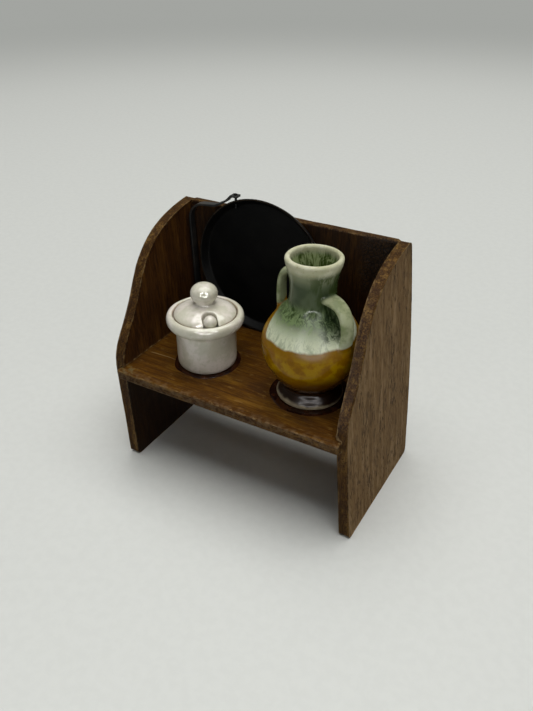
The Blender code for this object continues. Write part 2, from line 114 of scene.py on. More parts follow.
class Finish:
    """The nodes of a material or of the world."""

    def __init__(self, owner):
        self.owner = owner
        owner.use_nodes = True
        self.tree = owner.node_tree
        self.tree.nodes.clear()

    def node(self, kind, settings=None, sockets=None, output=0):
        made = self.tree.nodes.new("ShaderNode" + kind)
        for name, value in (settings or {}).items():
            if name == "stops":
                ramp = made.color_ramp
                while len(ramp.elements) < len(value):
                    ramp.elements.new(0.5)
                for element, (place, colour) in zip(ramp.elements, value):
                    element.position = place
                    element.color = (*colour, 1.0)
            else:
                setattr(made, name, value)
        for name, value in (sockets or {}).items():
            if isinstance(value, Wire):
                self.tree.links.new(value.socket, made.inputs[name])
            else:
                made.inputs[name].default_value = value
        return Wire(self, made.outputs[output]) if len(made.outputs) else None

    def maths(self, operation, *values, clamp=False):
        return self.node("Math", {"operation": operation, "use_clamp": clamp},
                         dict(enumerate(values)))

    def axes(self, where):
        """The three coordinates of a place."""
        return [self.node("SeparateXYZ", {}, {"Vector": where}, output=axis) for axis in range(3)]

    def places(self, centre=(0, 0, 0), scale=TO_MM, rotation=(0, 0, 0)):
        """Object coordinates measured from centre, in millimetres unless scale says otherwise."""
        raw = self.node("TexCoord", output="Object")
        moved = self.node("VectorMath", {"operation": "SUBTRACT"}, {0: raw, 1: tuple(centre)})
        return self.node("Mapping", {}, {"Vector": moved, "Scale": scale, "Rotation": rotation})

    def noise(self, where, size, detail=3.0, roughness=0.55, distortion=0.0, stretch=(1, 1, 1)):
        """Noise from 0 to 1 whose lumps are about size millimetres across."""
        scaled = self.node("VectorMath", {"operation": "MULTIPLY"}, {0: where, 1: stretch})
        return self.node("TexNoise", {}, {"Vector": scaled, "Scale": 1.0 / size, "Detail": detail,
                                          "Roughness": roughness, "Distortion": distortion})

    def attribute(self, name):
        return self.node("Attribute", {"attribute_name": name}, output="Fac")

    def mix(self, factor, first, second):
        """Colours mixed by a number; 6 and 7 are a Mix node's two colour sockets."""
        first, second = (c if isinstance(c, Wire) else (*c, 1.0) for c in (first, second))
        return self.node("Mix", {"data_type": "RGBA"}, {0: factor, 6: first, 7: second}, output=2)

    def bump(self, height, depth):
        """A normal from a height of 0 to 1 that is depth millimetres deep."""
        return self.node("Bump", {}, {"Height": height, "Distance": depth * MM, "Strength": 1.0})

    def surface(self, **sockets):
        """Ends the material with one Principled shader."""
        named = {name.replace("_", " "): value for name, value in sockets.items()}
        shader = self.node("BsdfPrincipled", {}, named)
        self.node("OutputMaterial", {}, {"Surface": shader})
        return self.owner


def new_material(name):
    return Finish(bpy.data.materials.new(name))


# Wood colours: dark, middle and light
DRY_WOOD = ((0.102, 0.056, 0.020), (0.200, 0.120, 0.050), (0.285, 0.184, 0.088))
STAINED_WOOD = ((0.022, 0.0068, 0.0008), (0.050, 0.0175, 0.0020), (0.092, 0.0370, 0.0050))
BACK_WOOD = ((0.014, 0.0045, 0.0005), (0.034, 0.0125, 0.0014), (0.070, 0.0300, 0.0040))
SHELF_WOOD = ((0.042, 0.0145, 0.0008), (0.086, 0.0340, 0.0018), (0.148, 0.0680, 0.0060))
EDGE_WOOD = ((0.024, 0.0095, 0.0016), (0.086, 0.0400, 0.0070), (0.200, 0.1120, 0.0300))
PORE = (0.010, 0.004, 0.001)
SHADE_BELOW_SHELF = (0.006, 0.0025, 0.0006)       # painted shade on the inner faces below the shelf
WORN = (0.260, 0.165, 0.065)


def wood(name, along, seed, inner_tones, marks=None):
    """Stained wood whose grain runs along one axis. The piece's own attributes say where its outer
    face, its thin edges and its corners are."""
    f = new_material(name)
    where = f.places(centre=[seed * MM * 7.0, seed * MM * 3.0, seed * MM * 5.0])

    def grained(size, share, detail, roughness=0.6, distortion=0.0):
        """Noise drawn out along the grain: share is its width over its length."""
        stretch = [1.0, 1.0, 1.0]
        stretch["XYZ".index(along)] = share
        return f.noise(where, size, detail, roughness, distortion, stretch)

    outside = f.attribute("outside")
    rim = f.attribute("rim")
    corner = f.attribute("corner")

    wander = f.noise(where, 9.0, detail=1.0)
    fibre = grained(0.22, 0.07, 3.0, 0.7)
    streak = grained(1.15, 0.05, 4.0, 0.6, 0.25)
    figure = grained(3.2, 0.22, 2.0)
    speck = f.noise(where, 0.40, detail=2.0, roughness=0.7)
    lump = f.noise(where, 1.5, detail=3.0, roughness=0.6)
    pores = grained(0.26, 0.09, 1.5, 0.6, 0.1).between(0.58, 0.62) \
        * grained(3.2, 0.40, 2.0).between(0.49, 0.57) * (0.35 + outside * 0.65)
    splits = grained(0.40, 0.07, 2.0, 0.6, 0.15).between(0.655, 0.685) * outside
    pores = f.maths("MAXIMUM", pores, splits)

    grain = (fibre * 0.65 + streak * 0.35).between(0.38, 0.60)
    light = (streak * 0.30 + figure * 0.45 + fibre * 0.25).between(0.48, 0.68)
    tones = []
    for dark, mid, pale in (inner_tones, DRY_WOOD, EDGE_WOOD):
        tones.append(f.mix(light, f.mix(grain, dark, mid), pale))
    stained, dry, edge = tones
    edge = f.mix(lump.between(0.44, 0.66) * 0.7, edge, (0.030, 0.012, 0.004))
    edge = f.mix(speck.between(0.53, 0.66) * 0.8, edge, (0.012, 0.005, 0.002))
    outer = (outside + (wander - 0.5) * 0.3).between(0.35, 0.65)
    level = f.axes(f.places())[2]
    shelf_level = SHELF_LOW.z / MM
    # Below the shelf the inner tone is darkened: painted shade under the shelf.
    stained = f.mix(level.between(shelf_level + 0.4, shelf_level - 0.6) * 0.75, stained, SHADE_BELOW_SHELF)
    colour = f.mix(outer, stained, dry)
    colour = f.mix((rim + (speck - 0.5) * 0.5).between(0.35, 0.7), colour, edge)
    colour = f.mix(pores * (1 - rim) * 0.92, colour, PORE)
    worn = (corner + (lump - 0.5) * 1.7 + (speck - 0.5) * 0.8).between(0.70, 1.15)
    colour = f.mix(worn * 0.6, colour, WORN)
    rough = 0.56 + outside * 0.14 + (fibre - 0.5) * 0.2
    height = fibre * 0.3 + streak * 0.2 - pores * 1.1 + speck * rim * 0.8 + lump * rim * 0.8
    if marks:
        colour, rough, height = marks(f, colour, rough, height)
    return f.surface(Base_Color=colour, Roughness=rough, Normal=f.bump(height, 0.09),
                     Specular_IOR_Level=0.05)


def shelf_marks(f, colour, rough, height):
    """What years of use left on the shelf: dark patches, a long scratch and a smear of old glue."""
    where = f.places(centre=(SHELF_LOW.x, SHELF_LOW.y, SHELF_HIGH.z))
    x, y, z = f.axes(where)
    top = z.between(-0.5, -0.1)
    patches = f.noise(where, 7.0, detail=3.0, stretch=(0.5, 1, 1)).between(0.52, 0.66)
    colour = f.mix(patches * top * 0.55, colour, (0.040, 0.016, 0.004))
    gold = f.noise(where, 1.1, detail=4.0, roughness=0.7, stretch=(0.3, 1, 1)).between(0.56, 0.74)
    colour = f.mix(gold * top * 0.5, colour, (0.230, 0.125, 0.030))
    scratch_line = y + (f.noise(where, 6.0, detail=1.0) - 0.5) * 1.2 - 10.4
    scratch = f.maths("ABSOLUTE", scratch_line).between(0.22, 0.05) \
        * x.between(1.6, 2.6) * x.between(11.5, 7.0) * top
    colour = f.mix(scratch * 0.7, colour, (0.24, 0.15, 0.06))
    glue = f.noise(where, 1.3, detail=3.0).between(0.44, 0.58) \
        * x.between(4.6, 3.4) * y.between(3.6, 2.2) * top
    colour = f.mix(glue * 0.45, colour, (0.13, 0.12, 0.06))
    front = y.between(2.4, 0.2) * f.noise(where, 1.6, detail=3.0).between(0.42, 0.62)
    colour = f.mix(front * 0.35, colour, (0.170, 0.110, 0.055))
    rough = rough - glue * 0.2 - patches * 0.08
    return colour, rough, height - scratch * 0.6


def back_marks(f, colour, rough, height):
    """A blistered patch of varnish near the right end, and dark runs down the board."""
    where = f.places(centre=(RIGHT_LOW.x, 0, BACK_HIGH.z))
    x, y, z = f.axes(where)
    cells = f.node("TexVoronoi", {"feature": "DISTANCE_TO_EDGE"}, {"Vector": where, "Scale": 1.35})
    edge = f.noise(where, 2.5, detail=3.0)
    front = y.between(BACK_HIGH.y / MM - 1.0, BACK_LOW.y / MM + 0.6)
    patch = (x + edge * 4.0).between(-7.0, -4.5) * (z + edge * 5.0).between(-13.0, -9.0) * front
    cracks = cells.between(0.16, 0.03) * patch
    colour = f.mix(patch * 0.5, colour, (0.050, 0.026, 0.011))
    colour = f.mix(cracks * 0.8, colour, (0.006, 0.004, 0.002))
    runs = f.noise(where, 2.2, detail=2.0, stretch=(1, 1, 0.05)).between(0.50, 0.66)
    colour = f.mix(runs * 0.5, colour, (0.014, 0.006, 0.002))
    return colour, rough, height - cracks * 1.2 + patch * edge * 0.8


def ivory_glaze():
    """Thick glossy ivory glaze, warmer and browner where it pooled in corners."""
    f = new_material("ivory_glaze")
    where = f.places(centre=POT_FOOT)
    cloud = f.noise(where, 4.5, detail=3.0)
    fine = f.noise(where, 0.9, detail=3.0, roughness=0.6)
    seam = f.attribute("seam")
    colour = f.mix(cloud.between(0.42, 0.60), (0.610, 0.590, 0.480), (0.740, 0.690, 0.620))
    colour = f.mix(fine.between(0.48, 0.66) * 0.45, colour, (0.540, 0.530, 0.400))
    speck = f.noise(where, 0.22, detail=1.0).between(0.73, 0.78)
    colour = f.mix(speck * 0.30, colour, (0.30, 0.22, 0.13))
    colour = f.mix((seam + (fine - 0.5) * 0.5).between(0.35, 0.95) * 0.75, colour,
                   (0.270, 0.190, 0.120))
    lumps = f.noise(where, 1.9, detail=2.0)
    return f.surface(Base_Color=colour, Roughness=0.03 + fine * 0.04,
                     Normal=f.bump(cloud * 0.6 + lumps * 0.37 + fine * 0.03, 0.11),
                     Coat_Weight=0.5, Coat_Roughness=0.02, Specular_IOR_Level=0.5)


def jug_glaze():
    """Cream lip, grey-green neck, feathered green shoulder, pale band, and amber below with drips."""
    f = new_material("green_amber_glaze")
    where = f.places(centre=JUG_FOOT)
    x, y, height = f.axes(where)
    flat = f.node("CombineXYZ", {}, {"X": x, "Y": y})
    out = f.node("VectorMath", {"operation": "LENGTH"}, {0: flat}, output="Value")
    inside = f.attribute("inside")
    handle = f.attribute("handle")
    right = x / (out + 0.01)
    facing = y / (out + 0.01)

    cloud = f.noise(where, 5.0, detail=2.0)
    drips = f.noise(where, 2.4, detail=2.0, stretch=(1, 1, 0.22))
    feather = f.noise(where, 1.0, detail=4.0, roughness=0.65, distortion=1.0, stretch=(1, 1, 0.28))
    fine = f.noise(where, 0.45, detail=3.0)

    # The pale glaze ends at a clear line, which climbs on the left and behind
    left_rise = right.between(-0.66, -0.99) * 4.4 + facing.between(-0.1, 0.8) * 2.4
    right_rise = right.between(0.45, 0.95) * 0.5
    line = height - left_rise - right_rise + (drips - 0.5) * 0.7 + (cloud - 0.5) * 0.9
    pale_to_amber = line.between(16.15, 15.55)

    foot = f.mix((height + (drips - 0.5) * 1.0 + (cloud - 0.5) * 1.2).between(0.75, 1.5),
                 (0.430, 0.360, 0.240), (0.022, 0.0065, 0.0005))
    lower = f.mix((height + (cloud - 0.5) * 2.0).between(3.4, 8.6), foot, (0.095, 0.036, 0.0003))
    pools = f.noise(where, 2.6, detail=3.0)
    amber = f.mix(pools.between(0.40, 0.60), (0.350, 0.196, 0.0003), (0.225, 0.100, 0.0002))
    amber = f.mix(feather.between(0.54, 0.72) * 0.30, amber, (0.420, 0.260, 0.0040))
    amber = f.mix(line.between(13.2, 15.9) * pools.between(0.62, 0.42) * 0.75, amber,
                  (0.150, 0.062, 0.0003))
    lower = f.mix((height + (cloud - 0.5) * 3.0).between(6.6, 11.4), lower, amber)

    pale = f.mix(feather.between(0.36, 0.62), (0.400, 0.450, 0.310), (0.660, 0.700, 0.520))
    green = f.mix(feather.between(0.38, 0.60), (0.030, 0.054, 0.012), (0.175, 0.245, 0.105))
    neck = f.mix(cloud.between(0.40, 0.60), (0.055, 0.076, 0.038), (0.090, 0.116, 0.062))
    neck = f.mix(height.between(27.2, 30.4), neck, (0.260, 0.280, 0.170))
    shoulder = f.mix((height + (feather - 0.5) * 6.5).between(17.2, 20.8), pale, green)
    upper = f.mix((height + (feather - 0.5) * 1.6).between(21.8, 24.0), shoulder, neck)
    # Deep green gathers beside the right handle's root, and runs down the right of the neck
    root = (right * 0.88 - facing * 0.48 + (cloud - 0.5) * 0.25).between(0.90, 0.99) \
        * (height + (drips - 0.5) * 3.0).between(16.6, 18.4) * height.between(28.5, 24.5) \
        * (1 - handle)
    upper = f.mix(root * feather.between(0.70, 0.42) * 0.95, upper, (0.014, 0.032, 0.005))
    streaks = (right - facing * 0.4).between(0.45, 0.95) * height.between(23.0, 24.5) \
        * (drips * 0.6 + feather * 0.4).between(0.43, 0.54)
    upper = f.mix(streaks * 0.8, upper, (0.036, 0.058, 0.010))
    strap = f.mix(pools.between(0.38, 0.62), (0.210, 0.245, 0.115), (0.400, 0.425, 0.260))
    strap = f.mix(height.between(18.5, 15.8) * 0.8, strap, (0.520, 0.540, 0.390))
    upper = f.mix(handle * 0.9, upper, strap)
    lip = f.mix(cloud.between(0.4, 0.6), (0.480, 0.480, 0.310), (0.620, 0.610, 0.450))
    lip = f.mix(fine.between(0.56, 0.70) * 0.4, lip, (0.330, 0.270, 0.150))
    upper = f.mix((height + (fine - 0.5) * 0.8 - inside * 1.0).between(29.6, 31.3), upper, lip)
    bowl = f.mix(feather.between(0.42, 0.60), (0.050, 0.078, 0.016), (0.270, 0.330, 0.150))
    upper = f.mix(inside * (height + (feather - 0.5) * 1.5).between(31.9, 30.6), upper, bowl)

    colour = f.mix(pale_to_amber, upper, lower)
    colour = f.mix(handle * height.between(15.6, 14.2), colour, (0.420, 0.200, 0.0040))
    crystals = height.between(12.6, 14.6) * height.between(23.5, 21.5) * (1 - handle)
    worn_foot = height.between(3.0, 2.2)
    speck = f.noise(where, 0.30, detail=1.0).between(0.70, 0.76) * pale_to_amber
    colour = f.mix(speck * 0.6, colour, (0.05, 0.02, 0.002))
    rough = 0.06 + fine * 0.06 + crystals * 0.24 + worn_foot * 0.2
    return f.surface(Base_Color=colour, Roughness=rough,
                     Normal=f.bump(cloud * 0.6 + drips * 0.3 + fine * 0.1, 0.09),
                     Specular_IOR_Level=0.10)


def black_iron(name, shine):
    """Black japanned iron, satin, with its lacquer rubbed thin along the edges, where the lighter
    brown is also a painted highlight.
    """
    f = new_material(name)
    where = f.places(centre=PAN_MOUTH)
    cloud = f.noise(where, 5.0, detail=4.0)
    grit = f.noise(where, 0.28, detail=3.0, roughness=0.7)
    edge = f.attribute("corner")
    rubbed_and_highlit = (edge + (cloud - 0.5) * 0.9 + (grit - 0.5) * 0.5).between(0.55, 1.1)
    colour = f.mix(cloud.between(0.4, 0.65), (0.0012, 0.0013, 0.0013), (0.0028, 0.0028, 0.0026))
    dust = f.noise(where, 0.35, detail=1.0).between(0.70, 0.76)
    colour = f.mix(dust * 0.30, colour, (0.030, 0.030, 0.026))
    # Lighter brown on the rims and edges: worn lacquer and a painted highlight.
    colour = f.mix(rubbed_and_highlit * 0.8, colour, (0.060, 0.042, 0.026))
    return f.surface(Base_Color=colour, Roughness=0.36 + cloud * 0.16 - rubbed_and_highlit * 0.08,
                     Metallic=rubbed_and_highlit * 0.25, Normal=f.bump(grit * 0.4 + cloud * 0.6, 0.04),
                     Specular_IOR_Level=shine)


def glue_with_painted_shade():
    """Glossy glue round the feet of the pot and the jug, whose dark colour is painted contact shadow.
    """
    f = new_material("glue_with_painted_shade")
    where = f.places(centre=SHELF_LOW)
    cloud = f.noise(where, 2.0, detail=3.0)
    # Near-black colour: painted contact shadow round the feet, with the gloss of glue.
    colour = f.mix(cloud.between(0.40, 0.62), (0.012, 0.0028, 0.0010), (0.034, 0.0095, 0.0025))
    return f.surface(Base_Color=colour, Roughness=0.16 + cloud * 0.12, Normal=f.bump(cloud, 0.05),
                     Coat_Weight=0.15, Coat_Roughness=0.06, Specular_IOR_Level=0.15)


# ---- shaping ----

def smooth_curve(points, steps):
    """A Catmull-Rom curve through 2-D points, with this many steps between each two."""
    knots = [2 * Vector(points[0]) - Vector(points[1])] + [Vector(p) for p in points]
    knots.append(2 * Vector(points[-1]) - Vector(points[-2]))
    curve = []
    for a, b, c, d in zip(knots, knots[1:], knots[2:], knots[3:]):
        for i in range(steps):
            t = i / steps
            curve.append(0.5 * (2 * b + (c - a) * t + (2 * a - 5 * b + 4 * c - d) * t ** 2
                                + (3 * b - a - 3 * c + d) * t ** 3))
    return curve + [Vector(points[-1])]


def turned(profile, steps=112):
    """A closed form spun about Z from (radius, height) points that begin and end on the axis."""
    bm = bmesh.new()
    verts = [bm.verts.new((max(0.0, radius), 0.0, height)) for radius, height in profile]
    edges = [bm.edges.new(pair) for pair in zip(verts, verts[1:])]
    bmesh.ops.spin(bm, geom=verts + edges, cent=(0, 0, 0), axis=UP, angle=math.tau,
                   steps=steps, use_merge=True)
    bmesh.ops.remove_doubles(bm, verts=bm.verts, dist=0.0005 * MM)
    bmesh.ops.recalc_face_normals(bm, faces=bm.faces)
    return bm


def ellipse(bm, point, side, rise, wide, tall, rounds):
    """A ring of points round point: side and rise are its directions, wide and tall its half sizes."""
    turns = [math.tau * j / rounds for j in range(rounds)]
    return [bm.verts.new(point + side * (wide * math.cos(turn)) + rise * (tall * math.sin(turn)))
            for turn in turns]


def skinned(bm, rings):
    """A closed tube through rings of points."""
    loops = [[bm.edges.new(pair) for pair in zip(ring, ring[1:] + ring[:1])] for ring in rings]
    for near, far in zip(loops, loops[1:]):
        bmesh.ops.bridge_loops(bm, edges=near + far)
    for end in (loops[0], loops[-1]):
        bmesh.ops.contextual_create(bm, geom=end)
    bmesh.ops.recalc_face_normals(bm, faces=bm.faces)
    return bm


def direction_at(line, i):
    """The way that a line of points runs at its point i."""
    return (line[min(i + 1, len(line) - 1)] - line[max(i - 1, 0)]).normalized()


def mesh_of(name, bm):
    mesh = bpy.data.meshes.new(name)
    bm.to_mesh(mesh)
    bm.free()
    return mesh


def evaluated_mesh(made):
    """A new mesh of what an object's modifiers make of it."""
    bpy.context.view_layer.update()
    return bpy.data.meshes.new_from_object(
        made.evaluated_get(bpy.context.evaluated_depsgraph_get()))


def fused(forms, voxel, cutter=None, smoothing=4):
    """Closed forms joined into one skin, with an optional cut first in the first form, and the
    joins softened as thick glaze softens them."""
    base = bpy.data.objects.new("fusing", mesh_of("fusing", forms[0]))
    bpy.context.scene.collection.objects.link(base)
    helpers = []
    if cutter:
        tool = bpy.data.objects.new("cutting", mesh_of("cutting", cutter))
        bpy.context.scene.collection.objects.link(tool)
        helpers.append(tool)
        cut = base.modifiers.new("cut", "BOOLEAN")
        cut.operation, cut.solver, cut.object = "DIFFERENCE", "EXACT", tool
        done = evaluated_mesh(base)
        base.modifiers.clear()
        base.data = done
    joined = bmesh.new()
    joined.from_mesh(base.data)
    for form in forms[1:]:
        joined.from_mesh(mesh_of("form", form))
    joined.to_mesh(base.data)
    joined.free()
    skin = base.modifiers.new("skin", "REMESH")
    skin.mode, skin.voxel_size = "VOXEL", voxel
    done = evaluated_mesh(base)
    for helper in helpers + [base]:
        bpy.data.objects.remove(helper)
    bm = bmesh.new()
    bm.from_mesh(done)
    for _ in range(smoothing):
        bmesh.ops.smooth_vert(bm, verts=bm.verts, factor=0.5, use_axis_x=True, use_axis_y=True,
                              use_axis_z=True)
    return bm


def roughen(bm, depth, size, seed, inward=False):
    """Moves every point along its normal by up to depth, in lumps of about size."""
    bm.normal_update()
    moves = []
    for vert in bm.verts:
        lump = noise.noise(vert.co / size + Vector((seed, seed * 0.7, -seed)))
        moves.append(-depth * (0.5 + 0.5 * lump) if inward else depth * lump)
    for vert, move in zip(bm.verts, moves):
        vert.co += vert.normal * move


def unit(value):
    """The value, held between 0 and 1."""
    return max(0.0, min(1.0, value))


def near_ring(vert, radius, width):
    """1 on a circle round Z, falling to 0 at width from it, both in millimetres."""
    return max(0.0, 1 - abs(vert.co.xy.length / MM - radius) / width)


def mark(bm, name, value_at):
    """A number kept at every point, for the finish to read."""
    layer = bm.verts.layers.float.new(name)
    for vert in bm.verts:
        vert[layer] = value_at(vert)


def piece(name, bm, finish, body, replaced=None, smooth_angle=None):
    """Makes an object of a mesh that is already in its place, and hands it to its body."""
    mesh = mesh_of(name, bm)
    mesh.shade_smooth()
    if smooth_angle:
        mesh.set_sharp_from_angle(angle=math.radians(smooth_angle))
    mesh.materials.append(finish)
    made = bpy.data.objects.new(name, mesh)
    bpy.context.scene.collection.objects.link(made)
    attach(made, body)
    if replaced:
        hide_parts(replaced)
    return made


# ---- boards ----

SMALL_ROUND = 0.40 * MM
SLICE = 0.62 * MM
CORNER_REACH = 1.0 * MM
WOBBLE = 0.11 * MM        # how uneven the sawn faces are
SNUG = 0.25 * MM          # how far a snug board's ends are pushed out


def merged_copy(node):
    bm = bmesh.new()
    bm.from_mesh(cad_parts[node].data)
    bmesh.ops.remove_doubles(bm, verts=bm.verts, dist=0.001 * MM)
    bmesh.ops.dissolve_limit(bm, angle_limit=math.radians(1.0), verts=bm.verts, edges=bm.edges)
    bm.normal_update()
    return bm


def sharp_edges(bm, degrees=35):
    return [e for e in bm.edges
            if e.is_manifold and e.calc_face_angle(0.0) > math.radians(degrees)]


def bevelled(bm, edges, width, segments):
    bmesh.ops.bevel(bm, geom=edges, offset=width, offset_type="OFFSET", affect="EDGES",
                    segments=segments, profile=0.5, material=-1, clamp_overlap=True)


def rounded_edges(bm, width):
    bevelled(bm, sharp_edges(bm), width, 3)
    bm.normal_update()


def distance_to(point, ends):
    start, end = ends
    run = end - start
    share = unit((point - start).dot(run) / run.length_squared)
    return (point - start - run * share).length


def board(name, node, outward, finish, seed, dents=(), toe=1.1, snug=False):
    """A board with hand-rounded edges: outward is the way that its outer face points, toe is the
    radius at the corners of its outline, and a snug board's ends press against the two sides."""
    bm = merged_copy(node)
    if toe:
        turns = [e for e in sharp_edges(bm, 30)
                 if abs((e.verts[0].co - e.verts[1].co).normalized().dot(Vector(outward))) > 0.9]
        for edge in turns:
            if edge.is_valid:
                bevelled(bm, [edge], toe * MM, 5)
        bm.normal_update()
    corners = [(e.verts[0].co.copy(), e.verts[1].co.copy()) for e in sharp_edges(bm)]
    rounded_edges(bm, SMALL_ROUND)
    low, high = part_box(node)
    for axis in range(3):
        count = max(2, round((high[axis] - low[axis]) / SLICE))
        for i in range(1, count):
            place = Vector((0, 0, 0))
            place[axis] = low[axis] + (high[axis] - low[axis]) * i / count
            direction = Vector((0, 0, 0))
            direction[axis] = 1
            bmesh.ops.bisect_plane(bm, geom=bm.verts[:] + bm.edges[:] + bm.faces[:],
                                   dist=0.0001 * MM, plane_co=place, plane_no=direction)
    bmesh.ops.remove_doubles(bm, verts=bm.verts, dist=0.004 * MM)
    bmesh.ops.triangulate(bm, faces=[face for face in bm.faces if len(face.verts) > 4])
    bm.normal_update()
    outward = Vector(outward)

    def nearness(vert):
        nearest = min(distance_to(vert.co, ends) for ends in corners)
        return max(0.0, 1.0 - nearest / CORNER_REACH)

    mark(bm, "outside", lambda v: max(0.0, v.normal.dot(outward)))
    mark(bm, "rim", lambda v: 1.0 - min(1.0, abs(v.normal.dot(outward)) * 1.3))
    mark(bm, "corner", nearness)
    ends = [v for v in bm.verts if snug and abs(v.normal.x) > 0.8]
    roughen(bm, WOBBLE, 7.0 * MM, seed, inward=True)
    roughen(bm, 0.05 * MM, 1.3 * MM, seed + 5, inward=True)
    for vert in ends:
        vert.co.x += math.copysign(SNUG, vert.normal.x)
    for centre, reach, depth in dents:
        for vert in bm.verts:
            away = (vert.co - centre).length / reach
            if away < 1:
                vert.co -= vert.normal * depth * (1 - away * away) ** 2
    return piece(name, bm, finish, "shelf_unit", node)


def make_shelf_unit():
    thick = 2.5 * MM
    pits = []
    # Dents up the front edge of the right side: height, aside, reach, depth
    for lift, across, reach, depth in ((34.0, 0.2, 0.85, 0.42), (29.4, -0.3, 0.75, 0.40),
                                       (26.8, -0.9, 0.9, 0.30), (23.6, 0.3, 0.7, 0.38),
                                       (21.3, -0.5, 0.6, 0.22), (44.5, 0.1, 0.7, 0.22),
                                       (12.0, 0.4, 0.8, 0.22)):
        lean = (RIGHT_HIGH.x - RIGHT_LOW.x - thick) * (lift * MM / RIGHT_HIGH.z)
        place = Vector((RIGHT_HIGH.x - thick / 2 - lean + across * MM, RIGHT_LOW.y, lift * MM))
        pits.append((place, reach * MM, depth * MM))
    # A nick in the top edge of the back board, near its right end
    nick = [(Vector((18.2 * MM, BACK_LOW.y, BACK_HIGH.z)), 0.9 * MM, 0.45 * MM)]
    board("left_side", "left_side_panel", (-1, 0, 0), wood("left_side_wood", "Z", 1, STAINED_WOOD),
          3)
    board("right_side", "right_side_panel", (1, 0, 0), wood("right_side_wood", "Z", 2, STAINED_WOOD),
          11, pits)
    board("back_board", "back_panel", (0, 1, 0),
          wood("back_board_wood", "Z", 3, BACK_WOOD, marks=back_marks), 17, nick,
          toe=0, snug=True)
    board("shelf", "shelf_board", (0, 0, -1),
          wood("shelf_wood", "X", 4, SHELF_WOOD, marks=shelf_marks), 23,
          toe=0, snug=True)


# ---- honey pot, lid and spoon: millimetres above the pot's foot ----

NOTCH_BEARING = math.radians(-45)
NOTCH_WAY = Vector((math.cos(NOTCH_BEARING), math.sin(NOTCH_BEARING), 0))
NOTCH_SIDE = Vector((-NOTCH_WAY.y, NOTCH_WAY.x, 0))


def in_metres(points):
    return [(a * MM, b * MM) for a, b in points]


def make_pot(glaze):
    outside = smooth_curve([(5.9, 0.02), (6.45, 0.18), (6.78, 0.75), (6.93, 1.7), (6.94, 4.5),
                            (6.95, 8.2), (7.02, 9.2), (7.45, 9.85), (8.35, 10.25), (8.82, 11.0),
                            (8.86, 11.9), (8.6, 12.6), (8.1, 12.93), (7.62, 12.9)], 4)
    inside = smooth_curve([(7.45, 12.78), (7.33, 12.5), (7.31, 12.0), (7.25, 11.83), (6.9, 11.8),
                           (6.0, 11.78), (5.82, 11.6), (5.8, 10.5), (5.8, 4.0), (5.7, 2.3),
                           (5.0, 1.5), (3.0, 1.33)], 3)
    profile = [(0.0, 0.02)] + [tuple(p) for p in outside + inside] + [(0.0, 1.3)]
    bm = turned(in_metres(profile))
    mark(bm, "seam", lambda v: near_ring(v, 7.38, 0.42)
         * (1.0 if v.co.z > 11.0 * MM else 0.0)
         + max(0.0, 1 - v.co.z / (0.5 * MM)) * 0.8)
    roughen(bm, 0.05 * MM, 5.0 * MM, 31)
    bmesh.ops.translate(bm, verts=bm.verts, vec=POT_FOOT)
    return piece("honey_pot", bm, glaze, "honey_pot", "pot_body")


def notch_cutter():
    """What the spoon's notch takes out of the lid: a slot with a round inner end."""
    half_width = 1.66
    inner = 5.15
    outer = 12.0
    bottom = 9.0
    height = 8.0
    bm = bmesh.new()
    arc = [math.radians(90 + 180 * i / 24) for i in range(25)]
    outline = [(inner + half_width * math.cos(t), half_width * math.sin(t)) for t in arc]
    outline += [(outer, -half_width), (outer, half_width)]
    face = bm.faces.new([bm.verts.new((NOTCH_WAY * run + NOTCH_SIDE * aside + UP * bottom) * MM)
                         for run, aside in outline])
    grown = bmesh.ops.extrude_face_region(bm, geom=[face])["geom"]
    bmesh.ops.translate(bm, verts=[v for v in grown if isinstance(v, bmesh.types.BMVert)],
                        vec=UP * height * MM)
    bmesh.ops.recalc_face_normals(bm, faces=bm.faces)
    return bm


def make_lid(glaze):
    plug = [(5.66, 11.34), (5.68, 11.9), (7.05, 11.92), (7.17, 12.1)]
    dome = smooth_curve([(7.18, 12.4), (7.02, 12.85), (6.6, 13.35), (5.8, 13.9), (4.4, 14.5),
                         (3.0, 14.9), (2.3, 15.2), (2.15, 15.62), (2.5, 16.1), (2.98, 16.8),
                         (3.13, 17.6), (2.95, 18.5), (2.35, 19.25), (1.4, 19.74), (0.0, 19.88)], 4)
    solid = turned(in_metres([(0.0, 11.34)] + plug + [tuple(p) for p in dome[:-1]]
                             + [(0.0, 19.88)]), 72)
    bm = fused([solid], 0.105 * MM, notch_cutter(), smoothing=14)
    mark(bm, "seam", lambda v: near_ring(v, 7.15, 0.30)
         * (1.0 if v.co.z < 12.7 * MM else 0.3))
    roughen(bm, 0.06 * MM, 3.5 * MM, 37)
    bmesh.ops.translate(bm, verts=bm.verts, vec=POT_FOOT)
    return piece("honey_pot_lid", bm, glaze, "lid", "pot_lid")


def spoon_stem(bowl_at, ball_at):
    """A round rod that thickens where it meets the bowl and the ball."""
    count = 20
    bm = bmesh.new()
    along = (ball_at - bowl_at).normalized()
    side = along.orthogonal().normalized()
    rise = along.cross(side)
    rings = []
    for i in range(count + 1):
        radius = (0.52 + 0.25 * abs(2 * i / count - 1) ** 8) * MM
        rings.append(ellipse(bm, bowl_at.lerp(ball_at, i / count), side, rise, radius, radius, 16))
    return skinned(bm, rings)


